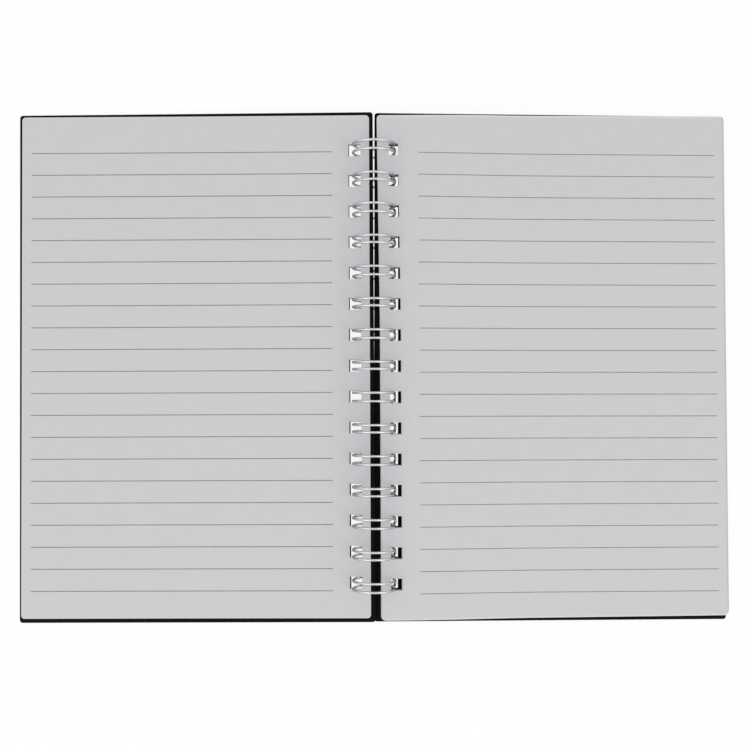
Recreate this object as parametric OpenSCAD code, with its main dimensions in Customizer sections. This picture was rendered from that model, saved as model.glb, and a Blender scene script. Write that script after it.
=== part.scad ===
// Twin-loop wire-bound notebook, lying open on a table.
// The wire's axis runs along Y, the front cover lies on the left (-X) and the page stack on the right.
// The origin is on the table, under the middle of the wire.

/* [Wire comb] */
// Number of twin loops
loops = 15; // [5:1:20]
// Distance from one loop to the next (two holes to the inch)
pitch = 12.7; // [12:0.1:14]
// Wire thickness
wire_d = 1; // [0.7:0.05:1.2]
// Radius of the closed rings, to the middle of the wire
ring_r = 8.5; // [8:0.1:9.5]
// Distance between the two legs of a loop, averaged over the comb
leg_gap = 3.14; // [2.6:0.02:3.2]
// Every other loop comes off the forming tool this much wider, and the rest narrower
leg_gap_swing = 0.26; // [0:0.02:0.28]
// How far the closed loop tips stand out from the ring
tip_flare = 1.2; // [0.4:0.05:1.4]
// How far the loop tips reach past the back pieces
tip_lap = 0.6; // [0.2:0.05:0.7]
// Inner bend radius where a leg turns into the straight back piece
root_bend = 0.5; // [0.3:0.05:0.6]
// Length of the back piece left standing at each cut end
end_stub = 1.2; // [0.5:0.1:3]

/* [Covers] */
// Cover width, from the wire side to the outer edge
cover_w = 146.6; // [120:0.2:170]
// Cover height along the wire
cover_l = 210; // [200:1:250]
// Cover thickness
cover_t = 0.8; // [0.5:0.05:0.9]
// Radius of the cover corners
cover_corner = 1.2; // [0.5:0.1:6]
// Cover edge to the middle of its holes
cover_margin = 7.35; // [6.9:0.05:7.5]

/* [Leaves] */
// Leaf width
page_w = 143.6; // [118:0.2:145]
// Leaf height along the wire
page_l = 206.8; // [196:0.2:240]
// Radius of the leaf corners
page_corner = 1.4; // [0.3:0.1:4]
// Leaf edge to the middle of its holes
page_margin = 6.05; // [5.6:0.05:6.3]
// Thickness of the few leaves that lie on the front cover
left_t = 0.6; // [0.2:0.1:1.2]
// Thickness of the stack that lies on the back cover
stack_t = 3; // [1.5:0.1:3.4]
// How far the lowest leaf of the stack reaches past the top one
stack_fan = 2; // [0.2:0.1:2]
// Width of the zone in which the stack curves up to the wire
stack_rise_w = 55; // [30:1:90]

/* [Holes] */
// Hole width, across the wire
hole_w = 5; // [4.6:0.1:5.2]
// Hole height, along the wire
hole_l = 4.9; // [4.8:0.05:5.4]

/* [How it lies open] */
// Height of the front cover's outside above the table, at its holes
front_lift = 4.2; // [3.9:0.1:4.8]
// Gap between the front cover's edge and the back cover's edge under it
lap_gap = 0.3; // [0.2:0.05:0.5]
// Meeting line of the two covers, to the right of the wire's axis
meet_x = 0.15; // [0:0.05:0.5]
// Room that the back cover and the stack leave for the closed loops
closure_gap = 1.85; // [1.5:0.05:2.1]
// Middle of the left leaves' holes, from the wire's axis
left_hole_x = 7.8; // [7.6:0.05:8.3]
// Middle of the stack's holes, from the wire's axis
right_hole_x = 8.6; // [8:0.05:8.8]
// In-plane turn of the front cover on the wire, in degrees
front_skew = 0.3; // [0:0.05:0.35]
// In-plane turn of the left leaves
left_skew = 0.2; // [0:0.05:0.35]
// In-plane turn of the stack
right_skew = 0.25; // [0:0.05:0.35]
// In-plane turn of the back cover
back_skew = -0.1; // [-0.2:0.05:0]

/* [Hidden] */

wire_r = wire_d / 2;
axis_z = ring_r + wire_r;
first_y = (loops - 1) * pitch / 2;
bore_reach = 60;

front_hole_x = cover_margin - meet_x;
back_hole_x = cover_margin + meet_x;
back_lift = front_lift - cover_t - lap_gap;
cover_reach = cover_w - cover_margin;
front_tilt = asin(front_lift / cover_reach);
back_tilt = asin(back_lift / cover_reach);

// The closed tips and the back pieces sit halfway up the gap between back cover and stack
closure_z = back_lift + cover_t + closure_gap / 2;
root_angle = -asin((axis_z - closure_z) / ring_r);
bend_r = root_bend + wire_r;
tip_end = root_angle + 360 + arc_angle(tip_lap);
flare_turn = 60;
leg_steps = 14;
bend_steps = 2;
tip_steps = 6;
wire_sides = 8;
stack_steps = 18;

// Angle on the ring that an arc of this length takes up
function arc_angle(length) = length / ring_r * 180 / PI;
function half_gap(i) = (leg_gap + (i % 2 == 0 ? leg_gap_swing : -leg_gap_swing)) / 2;
function loop_y(i) = first_y - i * pitch;

// The last part of a leg leaves the ring more and more, up to the tip of the loop
function flare(angle) = tip_flare * pow(max(0, 1 - (tip_end - angle) / flare_turn), 2);

// The wire's route lies on the ring's surface: each point is [angle on the ring, y, outward flare].
// A leg rises from the back piece over the pages, round the left side and under the covers to its tip.
function leg_route(i, side) = [
    for (k = [0 : leg_steps])
        let (from = root_angle + arc_angle(bend_r),
             to = tip_end - arc_angle(half_gap(i)),
             angle = from + (to - from) * k / leg_steps)
        [angle, loop_y(i) + side * half_gap(i), flare(angle)]
];

function tip_route(i) = [
    for (k = [1 : tip_steps - 1])
        let (turn = 180 * k / tip_steps,
             angle = tip_end - arc_angle(half_gap(i) * (1 - sin(turn))))
        [angle, loop_y(i) + half_gap(i) * cos(turn), flare(angle)]
];

// A quarter bend from the back piece into a leg, seen on the unrolled ring
function root_route(i, side) = [
    for (k = [0 : bend_steps - 1])
        let (turn = 90 * k / bend_steps)
        [root_angle + arc_angle(bend_r * (1 - cos(turn))),
         loop_y(i) + side * (half_gap(i) + bend_r * (1 - sin(turn))), 0]
];

function reversed(list) = [for (k = [len(list) - 1 : -1 : 0]) list[k]];

function loop_route(i) = concat(
    root_route(i, 1), leg_route(i, 1), tip_route(i), reversed(leg_route(i, -1)), reversed(root_route(i, -1))
);

function end_y(side) = side * (first_y + half_gap(side > 0 ? 0 : loops - 1) + bend_r + end_stub);

comb_route = concat(
    [[root_angle, end_y(1), 0]],
    [for (i = [0 : loops - 1]) each loop_route(i)],
    [[root_angle, end_y(-1), 0]]
);

function on_ring(p) = [
    (ring_r + p[2]) * cos(p[0]), p[1], axis_z + (ring_r + p[2]) * sin(p[0])
];
function unit(v) = v / norm(v);

// A round section square to the route, one side of it always facing away from the ring's axis
function section(points, route, k) =
    let (ahead = points[min(k + 1, len(points) - 1)],
         behind = points[max(k - 1, 0)],
         along = unit(ahead - behind),
         out = [cos(route[k][0]), 0, sin(route[k][0])],
         u = unit(out - (out * along) * along),
         v = cross(along, u))
    [for (a = [0 : wire_sides - 1])
        points[k] + wire_r * (cos(360 * a / wire_sides) * u + sin(360 * a / wire_sides) * v)];

module swept_wire(route) {
    points = [for (p = route) on_ring(p)];
    count = len(points);
    rings = [for (k = [0 : count - 1]) each section(points, route, k)];
    walls = [
        for (k = [0 : count - 2], a = [0 : wire_sides - 1])
            let (b = (a + 1) % wire_sides,
                 low = k * wire_sides,
                 high = low + wire_sides)
            each [[low + a, high + a, high + b], [low + a, high + b, low + b]]
    ];
    start_cap = [[for (a = [0 : wire_sides - 1]) a]];
    end_cap = [[for (a = [wire_sides - 1 : -1 : 0]) (count - 1) * wire_sides + a]];
    polyhedron(points = rings, faces = concat(walls, start_cap, end_cap));
}

module rounded_outline(w, l, r) {
    translate([0, -l / 2 + r]) square([w, l - 2 * r]);
    translate([r, -l / 2]) square([w - 2 * r, l]);
    for (x = [r, w - r], y = [-l / 2 + r, l / 2 - r])
        translate([x, y]) circle(r = r, $fn = 24);
}

module hole_row() {
    for (i = [0 : loops - 1])
        translate([0, loop_y(i)]) square([hole_w, hole_l], center = true);
}

// A flat sheet with its row of holes over the origin, reaching out along +X
module punched_sheet(w, l, t, corner, margin) {
    linear_extrude(height = t)
        difference() {
            translate([-margin, 0]) rounded_outline(w, l, corner);
            hole_row();
        }
}

// Lays a piece on the right side of the wire: its holes at x and z, sloping down to its outer edge
module lay_right(x, z, tilt, skew) {
    translate([x, 0, z]) rotate([0, tilt, 0]) rotate([0, 0, skew]) children();
}

// The same on the left side of the wire
module lay_left(x, z, tilt, skew) {
    mirror([1, 0, 0]) lay_right(x, z, tilt, -skew) children();
}

// Height of the stack's underside over the back cover, at a distance from the holes
function stack_bottom(s) =
    let (part = min(max((s - hole_w) / stack_rise_w, 0), 1))
    cover_t + closure_gap * (1 + cos(180 * part)) / 2;

stack_reach = page_w - page_margin;
bend_stations = [for (k = [0 : stack_steps]) hole_w + stack_rise_w * k / stack_steps];

// Cross-section of the stack: flat at the holes, curving down to lie flat on the back cover
module stack_profile() {
    low = concat([-page_margin], bend_stations, [stack_reach + stack_fan / 2]);
    high = concat([-page_margin], bend_stations, [stack_reach - stack_fan / 2]);
    polygon(concat(
        [for (s = low) [s, stack_bottom(s)]],
        [for (s = reversed(high)) [s, stack_bottom(s) + stack_t]]
    ));
}

module front_cover() {
    color("#161616")
        lay_left(front_hole_x, front_lift, front_tilt, front_skew)
        punched_sheet(cover_w, cover_l, cover_t, cover_corner, cover_margin);
}

module left_pages() {
    on_cover = (left_hole_x - front_hole_x) * cos(front_tilt);
    color("#e9eaec")
        lay_left(front_hole_x, front_lift, front_tilt, left_skew)
        translate([on_cover, 0, cover_t])
        punched_sheet(page_w, page_l, left_t, page_corner, page_margin);
}

module right_pages() {
    on_cover = (right_hole_x - back_hole_x) * cos(back_tilt);
    color("#e9eaec")
        lay_right(back_hole_x, back_lift, back_tilt, right_skew)
        translate([on_cover, 0, 0])
        difference() {
            translate([0, page_l / 2, 0]) rotate([90, 0, 0]) linear_extrude(height = page_l) stack_profile();
            linear_extrude(height = bore_reach, center = true) hole_row();
        }
}

module back_cover() {
    color("#161616")
        lay_right(back_hole_x, back_lift, back_tilt, back_skew)
        punched_sheet(cover_w, cover_l, cover_t, cover_corner, cover_margin);
}

module wire_binding() {
    color("#c9ccd0") swept_wire(comb_route);
}

front_cover();
left_pages();
right_pages();
back_cover();
wire_binding();
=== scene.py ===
import math
import random
from collections import namedtuple

import bmesh
import bpy
from mathutils import Matrix, Vector


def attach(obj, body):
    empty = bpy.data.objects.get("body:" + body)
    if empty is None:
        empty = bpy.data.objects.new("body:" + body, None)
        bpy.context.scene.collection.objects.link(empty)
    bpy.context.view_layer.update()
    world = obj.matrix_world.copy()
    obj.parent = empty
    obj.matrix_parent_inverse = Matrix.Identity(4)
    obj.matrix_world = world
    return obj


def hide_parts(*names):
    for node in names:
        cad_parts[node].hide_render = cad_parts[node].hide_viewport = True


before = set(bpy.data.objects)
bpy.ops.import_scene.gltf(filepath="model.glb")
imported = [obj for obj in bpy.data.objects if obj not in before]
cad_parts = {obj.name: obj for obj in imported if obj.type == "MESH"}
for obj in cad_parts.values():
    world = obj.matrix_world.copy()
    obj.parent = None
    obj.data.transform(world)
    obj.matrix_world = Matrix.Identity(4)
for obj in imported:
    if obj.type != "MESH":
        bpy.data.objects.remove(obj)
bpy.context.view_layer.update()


# Viewpoint

# The open notebook is looked at from straight above, from 42 cm over the table and a little
# towards the notebook's foot, tilted by about a degree.
camera_place = (-0.00547, -0.01123, 0.41662)
camera_turn = [math.radians(angle) for angle in (1.050, -0.828, -0.036)]
bpy.ops.object.camera_add(location=camera_place, rotation=camera_turn)
bpy.context.scene.camera = bpy.context.object
bpy.context.object.data.lens = 48.0
bpy.context.object.data.sensor_width = 36.0
bpy.context.object.data.clip_start = 0.01
bpy.context.scene.view_settings.view_transform = "Standard"


# Table and daylight

# A white table top in a bright, even room. The table reads as plain white, and still takes
# the notebook's soft shadow.
table_span = 6
table_drop = 0.00005
plain_share = 0.90


def node(tree, kind, settings=(), **sockets):
    """The outputs of a new node. Its inputs are given by name, or as i0, i1 and so on by number."""
    made = tree.nodes.new("ShaderNode" + kind)
    for name, value in dict(settings).items():
        setattr(made, name, value)
    for name, value in sockets.items():
        by_number = name[0] == "i" and name[1:].isdigit()
        socket = made.inputs[int(name[1:]) if by_number else name.replace("_", " ")]
        if isinstance(value, bpy.types.NodeSocket):
            tree.links.new(value, socket)
        else:
            socket.default_value = value
    return made.outputs


def maths(tree, operation, *values):
    """The result of one operation on one to three values."""
    sockets = {"i" + str(number): value for number, value in enumerate(values)}
    return node(tree, "Math", {"operation": operation}, **sockets)["Value"]


def seen_directly(tree):
    """One for a ray from the camera, a mirror or a clear piece, so that all of them show the background."""
    path = node(tree, "LightPath")
    bounced = maths(tree, "MAXIMUM", path["Is Glossy Ray"], path["Is Transmission Ray"])
    return maths(tree, "MAXIMUM", path["Is Camera Ray"], bounced)


room = bpy.data.worlds.new("bright_room")
bpy.context.scene.world = room
room.use_nodes = True
daylight = room.node_tree
daylight.nodes.clear()
direction = node(daylight, "TexCoord")
upward = node(daylight, "SeparateXYZ", Vector=direction["Object"])
room_level = node(daylight, "MapRange", {"interpolation_type": "SMOOTHSTEP"}, Value=upward["Z"],
                  From_Min=0.10, From_Max=0.62, To_Min=0.40, To_Max=0.84)
room_light = node(daylight, "Background", Color=(0.98, 0.985, 1.0, 1), Strength=room_level["Result"])
white_room = node(daylight, "Background", Color=(1, 1, 1, 1), Strength=1.0)
seen_room = node(daylight, "MixShader", Fac=seen_directly(daylight),
                 i1=room_light["Background"], i2=white_room["Background"])
node(daylight, "OutputWorld", Surface=seen_room["Shader"])

bpy.ops.object.select_all(action="DESELECT")
bpy.ops.mesh.primitive_plane_add(size=table_span, location=(0, 0, -table_drop))
table_top = bpy.context.object
table_top.name = "table_top"
table_paint = bpy.data.materials.new("white_table")
table_paint.use_nodes = True
paint = table_paint.node_tree
paint.nodes.clear()
matt_white = node(paint, "BsdfDiffuse", Color=(0.96, 0.96, 0.96, 1))
plain_white = node(paint, "Emission", Color=(1, 1, 1, 1), Strength=1.0)
how_plain = maths(paint, "MULTIPLY", seen_directly(paint), plain_share)
table_mix = node(paint, "MixShader", Fac=how_plain, i1=matt_white["BSDF"], i2=plain_white["Emission"])
node(paint, "OutputMaterial", Surface=table_mix["Shader"])
table_top.data.materials.append(table_paint)

# Two broad, soft lamps hang before the notebook, to its left and right, so that the rings throw
# only faint shadows and shine most on their flanks.
lamp_beside, lamp_before, lamp_height = 0.76, 0.38, 0.90
for side, way in (("left", -1), ("right", 1)):
    lamp_place = Vector((way * lamp_beside, -lamp_before, lamp_height))
    bpy.ops.object.light_add(type="AREA", location=lamp_place)
    lamp = bpy.context.object
    lamp.name = side + "_lamp"
    lamp.data.shape = "DISK"
    lamp.data.size = 0.90
    lamp.data.energy = 2.95
    lamp.data.color = (1.0, 0.99, 0.975)
    lamp.rotation_euler = lamp_place.to_track_quat("Z", "Y").to_euler()


# Covers

# Two black sheets of plastic-coated board, 0.8 mm thick, die-cut with small rounded corners
# and a row of fifteen square holes. The back cover lies under the stack, the front cover under
# the left leaves, and the front one's wire edge lies just over the back one's.
cover_w, cover_l, cover_t = 0.1466, 0.2100, 0.0008
cover_margin = 0.00735
cover_corner = 0.0012
cover_soft_edge = 0.00008
loops, pitch = 15, 0.0127
hole_w, hole_l = 0.0050, 0.0049
first_y = (loops - 1) * pitch / 2

# The covers meet a hair to the right of the wire's axis and slope from there to the table.
meet_x, lap_gap = 0.00015, 0.0003
front_hole_x, back_hole_x = cover_margin - meet_x, cover_margin + meet_x
front_lift = 0.0042
back_lift = front_lift - cover_t - lap_gap
cover_reach = cover_w - cover_margin
front_tilt, back_tilt = math.asin(front_lift / cover_reach), math.asin(back_lift / cover_reach)
front_turn, back_turn = math.radians(0.30), math.radians(-0.10)


def only(piece):
    bpy.ops.object.select_all(action="DESELECT")
    piece.select_set(True)
    bpy.context.view_layer.objects.active = piece


def punched_sheet(name, width, length, corner, margin, creases=()):
    """A flat sheet in the table's plane, its row of holes over the origin, reaching out along +X."""
    bpy.ops.object.select_all(action="DESELECT")
    bpy.ops.mesh.primitive_plane_add(size=1, location=(width / 2 - margin, 0, 0))
    sheet = bpy.context.object
    sheet.name = name
    sheet.scale = (width, length, 1)
    bpy.ops.object.transform_apply(location=True, rotation=True, scale=True)
    bpy.ops.object.mode_set(mode="EDIT")

    # Cuts along both sides of every hole, and the creases at which the sheet can curve
    for x in (-hole_w / 2, hole_w / 2, *creases):
        bpy.ops.mesh.select_all(action="SELECT")
        bpy.ops.mesh.bisect(plane_co=(x, 0, 0), plane_no=(1, 0, 0))
    rows = [first_y - i * pitch + side * hole_l / 2 for i in range(loops) for side in (1, -1)]
    for y in rows:
        bpy.ops.mesh.select_all(action="SELECT")
        bpy.ops.mesh.bisect(plane_co=(0, y, 0), plane_no=(0, 1, 0))

    # The faces inside the holes fall out
    flat = bmesh.from_edit_mesh(sheet.data)
    bpy.ops.mesh.select_all(action="DESELECT")
    for face in flat.faces:
        middle = face.calc_center_median()
        in_row = min(abs(middle.y - first_y + i * pitch) for i in range(loops)) < hole_l / 2
        face.select_set(abs(middle.x) < hole_w / 2 and in_row)
    bpy.ops.mesh.delete(type="FACE")

    # The four corners are rounded
    touching = 1e-6
    bpy.ops.mesh.select_mode(type="VERT")
    bpy.ops.mesh.select_all(action="DESELECT")
    flat = bmesh.from_edit_mesh(sheet.data)
    for point in flat.verts:
        at_side = min(abs(point.co.x + margin), abs(point.co.x + margin - width)) < touching
        point.select_set(at_side and abs(abs(point.co.y) - length / 2) < touching)
    bpy.ops.mesh.bevel(offset=corner, segments=6, profile=0.5, affect="VERTICES")
    bpy.ops.object.mode_set(mode="OBJECT")

    # The plan of the sheet is its UV map, from 0 to 1 over its width and its length
    plan = sheet.data.uv_layers[0]
    plan.name = "plan"
    for corner_at in sheet.data.loops:
        x, y, _ = sheet.data.vertices[corner_at.vertex_index].co
        plan.data[corner_at.index].uv = ((x + margin) / width, (y + length / 2) / length)
    return sheet


def lay_right(hole_x, lift, tilt, turn):
    """Where a sheet lies on the right: its holes at this place, sloping down to its outer edge."""
    sloped = Matrix.Rotation(tilt, 4, "Y") @ Matrix.Rotation(turn, 4, "Z")
    return Matrix.Translation((hole_x, 0, lift)) @ sloped


def lay_left(hole_x, lift, tilt, turn):
    return Matrix.Scale(-1, 4, (1, 0, 0)) @ lay_right(hole_x, lift, tilt, -turn)


def lay(sheet, place):
    sheet.data.transform(place)
    if place.is_negative:
        sheet.data.flip_normals()


def thicken(sheet, thickness, soft_edge=0):
    only(sheet)
    body = sheet.modifiers.new("thickness", "SOLIDIFY")
    body.thickness = thickness
    body.offset = 1
    bpy.ops.object.modifier_apply(modifier="thickness")
    if soft_edge:
        rim = sheet.modifiers.new("soft_edge", "BEVEL")
        rim.width = soft_edge
        rim.segments = 3
        rim.limit_method = "ANGLE"
        rim.angle_limit = math.radians(50)
        bpy.ops.object.modifier_apply(modifier="soft_edge")
    bpy.ops.object.shade_smooth_by_angle(angle=math.radians(35))


def scaled(tree, value, within, gives):
    """Turns one range into another: the result runs through gives as the value runs through within."""
    made = node(tree, "MapRange", Value=value, From_Min=within[0], From_Max=within[1],
                To_Min=gives[0], To_Max=gives[1])
    return made["Result"]


def mixed(tree, share, first, second):
    return node(tree, "Mix", {"data_type": "RGBA"}, i0=share, i6=first, i7=second)["Result"]


cover_black = bpy.data.materials.new("black_cover_sheet")
cover_black.use_nodes = True
board = cover_black.node_tree
board.nodes.clear()
place = node(board, "TexCoord")

# A fine grain, under a matt sheen that is a little uneven
grain = node(board, "TexNoise", Vector=place["Object"], Scale=2600, Detail=3, Roughness=0.6)
embossed = node(board, "Bump", Height=grain["Fac"], Strength=0.35, Distance=0.00004)
cloudy = node(board, "TexNoise", Vector=place["Object"], Scale=38, Detail=4, Roughness=0.55)
sheen = scaled(board, cloudy["Fac"], within=(0.35, 0.65), gives=(0.54, 0.60))

# Long, faint rub marks on the faces
along = node(board, "Mapping", Vector=place["Object"], Scale=(60, 900, 60), Rotation=(0, 0, 0.5))
rubs = node(board, "TexNoise", Vector=along["Vector"], Scale=1, Detail=2, Roughness=0.5)
rub_marks = scaled(board, rubs["Fac"], within=(0.66, 0.74), gives=(0.0, 0.35))

# A worn rim, half a millimetre wide
rim_w = 0.0005
on_plan = node(board, "SeparateXYZ", Vector=place["UV"])
edges = []
for axis, size in (("X", cover_w), ("Y", cover_l)):
    centred = maths(board, "SUBTRACT", on_plan[axis], 0.5)
    away = maths(board, "ABSOLUTE", centred)
    edges.append(maths(board, "MULTIPLY_ADD", away, size, -size / 2))
nearest_edge = maths(board, "MAXIMUM", *edges)
rim_zone = scaled(board, nearest_edge, within=(-rim_w, 0.0), gives=(0.0, 1.0))
worn = node(board, "TexNoise", Vector=place["Object"], Scale=700, Detail=4, Roughness=0.7)
worn_rim = maths(board, "MULTIPLY", rim_zone, worn["Fac"])

wear_strength = 0.5
wear = maths(board, "MAXIMUM", worn_rim, rub_marks)
wear_amount = maths(board, "MULTIPLY", wear, wear_strength)
board_colour = mixed(board, wear_amount, (0.0034, 0.0034, 0.0037, 1), (0.016, 0.016, 0.017, 1))
board_skin = node(board, "BsdfPrincipled", Base_Color=board_colour, Roughness=sheen,
                  Normal=embossed["Normal"], Specular_IOR_Level=0.06)
node(board, "OutputMaterial", Surface=board_skin["BSDF"])

for name, body, at in (
    ("front_cover", "front_half", lay_left(front_hole_x, front_lift, front_tilt, front_turn)),
    ("back_cover", "base", lay_right(back_hole_x, back_lift, back_tilt, back_turn)),
):
    cover = punched_sheet(name + "_sheet", cover_w, cover_l, cover_corner, cover_margin)
    lay(cover, at)
    thicken(cover, cover_t, cover_soft_edge)
    cover.data.materials.append(cover_black)
    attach(cover, body)
    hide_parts(name)


# Left leaves

# The few leaves already turned over lie on the front cover, ruled side up. Each is a sheet of
# uncoated writing paper, a tenth of a millimetre thick, with its own row of square holes.
page_w, page_l = 0.1436, 0.2068
page_margin = 0.00605
page_corner = 0.0014
left_count = 6
left_hole_x, left_turn = 0.00780, math.radians(0.20)
left_creases = (0.03, 0.06, 0.09, 0.12)

# Height from one sheet to the next, and the shares of it that are paper and air under the paper
sheet_pitch = 0.0001
paper_share, air_share = 0.94, 0.03

line_count = 21
ink_bleed = 0.15


def writing_paper(name, first_line, line_pitch, line_turn, line_width, line_start, line_end, ink,
                  rim, rim_at_side):
    """Writing paper with fine ruled lines and a lighter rim, printed on the plan of the sheet."""
    paper = bpy.data.materials.new(name)
    paper.use_nodes = True
    tree = paper.node_tree
    tree.nodes.clear()
    place = node(tree, "TexCoord")
    plan = node(tree, "Mapping", Vector=place["UV"], Scale=(page_w, page_l, 1),
                Location=(-page_margin, -page_l / 2, 0))
    at = node(tree, "SeparateXYZ", Vector=plan["Vector"])

    # The lines are counted down the page, and a point near a whole count is on a line
    slant = maths(tree, "MULTIPLY_ADD", at["X"], math.tan(line_turn), first_line)
    down = maths(tree, "SUBTRACT", slant, at["Y"])
    count = maths(tree, "DIVIDE", down, line_pitch)
    nearest_line = maths(tree, "ROUND", count)
    off_line = maths(tree, "ABSOLUTE", maths(tree, "SUBTRACT", count, nearest_line))
    half_line = line_width / 2 / line_pitch
    line_edge = (half_line * (1 - ink_bleed), half_line * (1 + ink_bleed))
    marks = scaled(tree, off_line, within=line_edge, gives=(1.0, 0.0))
    for value, test, limit in (
        (count, "GREATER_THAN", -0.5),
        (count, "LESS_THAN", line_count - 0.5),
        (at["X"], "GREATER_THAN", line_start),
        (at["X"], "LESS_THAN", line_end),
    ):
        marks = maths(tree, "MULTIPLY", marks, maths(tree, test, value, limit))
    uneven = node(tree, "TexNoise", Vector=place["Object"], Scale=900, Detail=2, Roughness=0.6)
    flow = scaled(tree, uneven["Fac"], within=(0.3, 0.7), gives=(0.78, 1.0))
    inked = maths(tree, "MULTIPLY", marks, flow)

    # The pulp is a little cloudy
    pulp = node(tree, "TexNoise", Vector=place["Object"], Scale=170, Detail=5, Roughness=0.62)
    tone = scaled(tree, pulp["Fac"], within=(0.3, 0.7), gives=(0.0, 1.0))
    sheet = mixed(tree, tone, (0.588, 0.585, 0.596, 1), (0.601, 0.598, 0.609, 1))

    # The rim runs along the head and the foot, and on some paper along the outer side too
    beyond = maths(tree, "SUBTRACT", maths(tree, "ABSOLUTE", at["Y"]), page_l / 2)
    if rim_at_side:
        beyond_side = maths(tree, "SUBTRACT", at["X"], page_w - page_margin)
        beyond = maths(tree, "MAXIMUM", beyond_side, beyond)
    rim_share = scaled(tree, beyond, within=(-0.0008, -0.0001), gives=(0.0, 1.0))
    mellow = mixed(tree, rim_share, sheet, rim)
    printed = mixed(tree, inked, mellow, ink)

    # Fibres roughen the paper, and the whole sheet is a little wavy
    fibre_grid = node(tree, "Mapping", Vector=place["Object"], Scale=(900, 2600, 900))
    fibres = node(tree, "TexNoise", Vector=fibre_grid["Vector"], Scale=1, Detail=4, Roughness=0.65)
    waves = node(tree, "TexNoise", Vector=place["Object"], Scale=14, Detail=1, Roughness=0.4)
    wavy = node(tree, "Bump", Height=waves["Fac"], Strength=0.35, Distance=0.0003)
    rough = node(tree, "Bump", Height=fibres["Fac"], Strength=0.30, Distance=0.00002,
                 Normal=wavy["Normal"])
    matt = scaled(tree, fibres["Fac"], within=(0.3, 0.7), gives=(0.82, 0.92))
    skin = node(tree, "BsdfPrincipled", Base_Color=printed, Roughness=matt, Normal=rough["Normal"],
                Specular_IOR_Level=0.2)
    node(tree, "OutputMaterial", Surface=skin["BSDF"])
    return paper


# How a leaf lies in its pile: fanned at its outer end, out from the wire, up the page, turned,
# skewed, slipped to the wire near the head, dipped there, and curled up at its outer end.
Shift = namedtuple("Shift", "fan out up turn skew slip dip curl", defaults=(0,) * 8)

# A slip grows towards the head, from a little above the middle of the page, and fades out away
# from the holes. A dip does the same over the last stretch before the head.
slip_from, slip_zone, slip_fade = 0.015, 0.083, 0.050
dip_zone, dip_fade = 0.012, 0.035


def leaf_pile(name, template, numbers, height_at, shifts, place):
    """The leaves with these numbers, counted from the lowest, laid in place and joined to one piece."""
    leaves = []
    for k in numbers:
        leaf = template.copy()
        leaf.data = template.data.copy()
        bpy.context.collection.objects.link(leaf)
        shift = shifts[k]
        for point in leaf.data.vertices:
            s, y = point.co.x, point.co.y
            outward = max(s, 0)
            part = outward / page_w
            slipped = shift.slip * max(0, y - slip_from) / slip_zone * max(0, 1 - outward / slip_fade)
            past_dip = max(0, y - page_l / 2 + dip_zone)
            dipped = shift.dip * past_dip / dip_zone * max(0, 1 - outward / dip_fade)
            point.co = (
                s + shift.out + shift.fan * part - y * shift.turn - slipped,
                y + shift.up + s * (shift.turn + shift.skew) - dipped,
                height_at(s, k) + shift.curl * part ** 2,
            )
        lay(leaf, place)
        leaves.append(leaf)
    only(leaves[0])
    for leaf in leaves:
        leaf.select_set(True)
    if len(leaves) > 1:
        bpy.ops.object.join()
    leaves[0].name = name
    return leaves[0]


def left_height(s, k):
    """Height of a leaf's underside over the cover, the same at any distance s from the holes."""
    return (k + air_share) * sheet_pitch


left_paper = writing_paper(
    "ruled_paper_left", first_line=0.088365, line_pitch=0.009029, line_turn=math.radians(0.008),
    line_width=0.00035, line_start=0.0094, line_end=0.1337, ink=(0.165, 0.165, 0.17, 1),
    rim=(0.66, 0.60, 0.585, 1), rim_at_side=True,
)
flat_leaf = punched_sheet("flat_leaf", page_w, page_l, page_corner, page_margin, left_creases)
on_cover = Matrix.Translation(((left_hole_x - front_hole_x) * math.cos(front_tilt), 0, cover_t))
left_place = lay_left(front_hole_x, front_lift, front_tilt, left_turn) @ on_cover

# Each of the lower leaves curls up a little more than the one under it
curl_step = 0.00016
sway = random.Random(7)
left_shifts = [
    Shift(out=sway.uniform(-0.00022, -0.00014), up=sway.uniform(0.00010, 0.00018),
          turn=math.radians(sway.uniform(-0.015, 0.015)), curl=curl_step * k)
    for k in range(left_count - 1)
]
left_shifts.append(Shift(out=-0.00018, up=0.00016, curl=0.00090))
lower_left = leaf_pile("left_lower_leaves", flat_leaf, range(left_count - 1), left_height,
                       left_shifts, left_place)
top_left = leaf_pile("left_top_leaf", flat_leaf, [left_count - 1], left_height,
                     left_shifts, left_place)
for leaves in (lower_left, top_left):
    thicken(leaves, sheet_pitch * paper_share)
    leaves.data.materials.append(left_paper)
    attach(leaves, "front_half")
    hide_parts("left_pages")


# The stack

# Thirty leaves still to be written on lie on the back cover. Towards the wire they curve up
# over its closed loops, and at the outer edge the lower ones reach a little further out.
stack_count = 30
stack_fan = 0.0020
fan_bend = 2.5
stack_rise_w = 0.055
rise_steps = 18
closure_gap = 0.00185
right_hole_x, right_turn = 0.00860, math.radians(0.25)
rise_creases = [hole_w + stack_rise_w * k / rise_steps for k in range(rise_steps + 1)]
outer_creases = [0.08, 0.10, 0.12]

right_paper = writing_paper(
    "ruled_paper_right", first_line=0.087812, line_pitch=0.009025, line_turn=math.radians(-0.262),
    line_width=0.00030, line_start=0.0096, line_end=0.1341, ink=(0.15, 0.15, 0.155, 1),
    rim=(0.74, 0.69, 0.68, 1), rim_at_side=False,
)
curved_leaf = punched_sheet("curved_leaf", page_w, page_l, page_corner, page_margin,
                            rise_creases + outer_creases)
over_cover = Matrix.Translation(((right_hole_x - back_hole_x) * math.cos(back_tilt), 0, 0))
right_place = lay_right(back_hole_x, back_lift, back_tilt, right_turn) @ over_cover


def stack_height(s, k):
    """Height of a leaf's underside over the back cover's, at a distance s from the holes."""
    part = min(max((s - hole_w) / stack_rise_w, 0), 1)
    risen = closure_gap * (1 + math.cos(math.pi * part)) / 2
    return cover_t + risen + (k + air_share) * sheet_pitch


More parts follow.
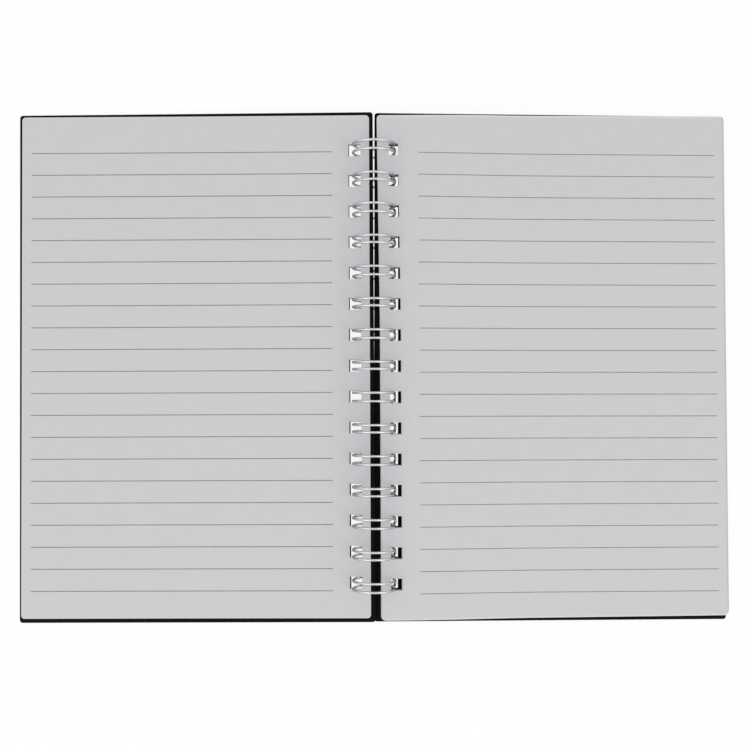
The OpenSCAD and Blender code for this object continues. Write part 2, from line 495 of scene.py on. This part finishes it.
def fanned(k):
    """How far a leaf's outer end reaches past the middle of the fan."""
    return (0.5 - ((k + 0.5) / stack_count) ** fan_bend) * stack_fan


# The lowest ten leaves lie turned a little towards the foot. Those above lie a little nearer to
# the head, have slipped more, and are skewed towards the head, the less the higher they lie.
low_count = stack_count // 3
low_turn, low_slip = -0.06, 0.0005
high_up, high_slip = 0.00008, 0.00090
most_skew, skew_fade = math.radians(0.20), 25
head_dip = 0.00050
stack_curl_step = 0.000004
riffle = random.Random(21)
right_shifts = []
for k in range(stack_count - 1):
    low = k < low_count
    right_shifts.append(Shift(
        fan=fanned(k),
        out=riffle.uniform(-0.00010, 0),
        up=riffle.uniform(-0.00018, -0.00011) + (0 if low else high_up),
        turn=math.radians((low_turn if low else 0) + riffle.uniform(-0.015, 0.015)),
        skew=0 if low else most_skew * (1 - (k - low_count) / skew_fade),
        slip=(low_slip if low else high_slip) * riffle.uniform(0.85, 1),
        dip=head_dip,
        curl=stack_curl_step * k,
    ))
right_shifts.append(Shift(fan=fanned(stack_count - 1), out=0.00032, up=-0.00018,
                          turn=math.radians(0.02), dip=head_dip, curl=0.00022))
lower_right = leaf_pile("stack_leaves", curved_leaf, range(stack_count - 1), stack_height,
                        right_shifts, right_place)
top_right = leaf_pile("stack_top_leaf", curved_leaf, [stack_count - 1], stack_height,
                      right_shifts, right_place)
for leaves in (lower_right, top_right):
    thicken(leaves, sheet_pitch * paper_share)
    leaves.data.materials.append(right_paper)
    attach(leaves, "page_stack")
    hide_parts("right_pages")
for spare in (flat_leaf, curved_leaf):
    bpy.data.objects.remove(spare, do_unlink=True)


# Wire comb

# One silver-coated steel wire, 1 mm thick, bent on a forming tool to fifteen double loops. It is
# pushed through the holes and squeezed shut to rings, a little flatter on top, so that the loop
# tips come up beside the straight back pieces.
wire_r, ring_r = 0.0005, 0.0085
axis_z = ring_r + wire_r
squeeze = 0.981
leg_gap, leg_gap_swing = 0.00314, 0.00026
most_lean = 0.00004
root_bend = 0.0005
bend_r = root_bend + wire_r
end_stub = 0.0012
closure_z = back_lift + cover_t + closure_gap / 2
root_angle = -math.asin((axis_z - closure_z) / ring_r)

# Over the last sixth of a turn each loop flares out of the ring, up to its tip
tip_flare, tip_lap, flare_turn = 0.0012, 0.0006, math.radians(60)
tip_end = root_angle + 2 * math.pi + tip_lap / ring_r
leg_steps, tip_steps, root_steps = 60, 14, 6


def half_gap(i):
    return (leg_gap + (leg_gap_swing if i % 2 == 0 else -leg_gap_swing)) / 2


def loop_route(i, lean):
    """One double loop on the ring's surface: each point is (angle on the ring, y)."""
    middle, half = first_y - i * pitch, half_gap(i)
    leg_from = root_angle + bend_r / ring_r
    leg_to = tip_end - half / ring_r
    legs = {}
    for side in (1, -1):
        bend = []
        for k in range(root_steps):
            turn = math.pi / 2 * k / root_steps
            bend.append((root_angle + bend_r * (1 - math.cos(turn)) / ring_r,
                         middle + side * (half + bend_r * (1 - math.sin(turn)))))
        leg = []
        for k in range(leg_steps + 1):
            leaning = lean * math.sin(math.pi * k / leg_steps)
            leg.append((leg_from + (leg_to - leg_from) * k / leg_steps,
                        middle + side * half + leaning))
        legs[side] = bend + leg
    tip = []
    for k in range(1, tip_steps):
        turn = math.pi * k / tip_steps
        tip.append((leg_to + half * math.sin(turn) / ring_r, middle + half * math.cos(turn)))
    return legs[1] + tip + legs[-1][::-1]


def end_y(side):
    last_loop = 0 if side > 0 else loops - 1
    return side * (first_y + half_gap(last_loop) + bend_r + end_stub)


handling = random.Random(5)
route = [(root_angle, end_y(1))]
for i in range(loops):
    route += loop_route(i, handling.uniform(-most_lean, most_lean))
route.append((root_angle, end_y(-1)))

bpy.ops.object.select_all(action="DESELECT")
bpy.ops.curve.primitive_nurbs_path_add()
comb = bpy.context.object
comb.name = "wire_comb"
comb.data.splines.clear()
run = comb.data.splines.new("POLY")
run.points.add(len(route) - 1)
for point, (angle, y) in zip(run.points, route):
    reach = ring_r + tip_flare * max(0, 1 - (tip_end - angle) / flare_turn) ** 2
    rise = reach * math.sin(angle)
    point.co = (reach * math.cos(angle), y, axis_z + rise * (squeeze if rise > 0 else 1), 1)
run.use_smooth = True
comb.data.bevel_depth = wire_r
comb.data.bevel_resolution = 4
comb.data.use_fill_caps = True
only(comb)
bpy.ops.object.convert(target="MESH")
comb = bpy.context.object
bpy.ops.object.shade_smooth_by_angle(angle=math.radians(50))

wire_silver = bpy.data.materials.new("silver_wire")
wire_silver.use_nodes = True
metal = wire_silver.node_tree
metal.nodes.clear()
place = node(metal, "TexCoord")
drawn = node(metal, "TexNoise", Vector=place["Object"], Scale=1500, Detail=3, Roughness=0.6)
draw_marks = node(metal, "Bump", Height=drawn["Fac"], Strength=0.12, Distance=0.00002)
dulled = node(metal, "TexNoise", Vector=place["Object"], Scale=130, Detail=3, Roughness=0.5)
polish = scaled(metal, dulled["Fac"], within=(0.35, 0.65), gives=(0.20, 0.32))
coat = mixed(metal, dulled["Fac"], (0.54, 0.55, 0.565, 1), (0.64, 0.65, 0.665, 1))
wire_skin = node(metal, "BsdfPrincipled", Base_Color=coat, Metallic=1.0, Roughness=polish,
                 Specular_Tint=(0.45, 0.45, 0.47, 1), Normal=draw_marks["Normal"])
node(metal, "OutputMaterial", Surface=wire_skin["BSDF"])
comb.data.materials.append(wire_silver)
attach(comb, "base")
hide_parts("wire_binding")
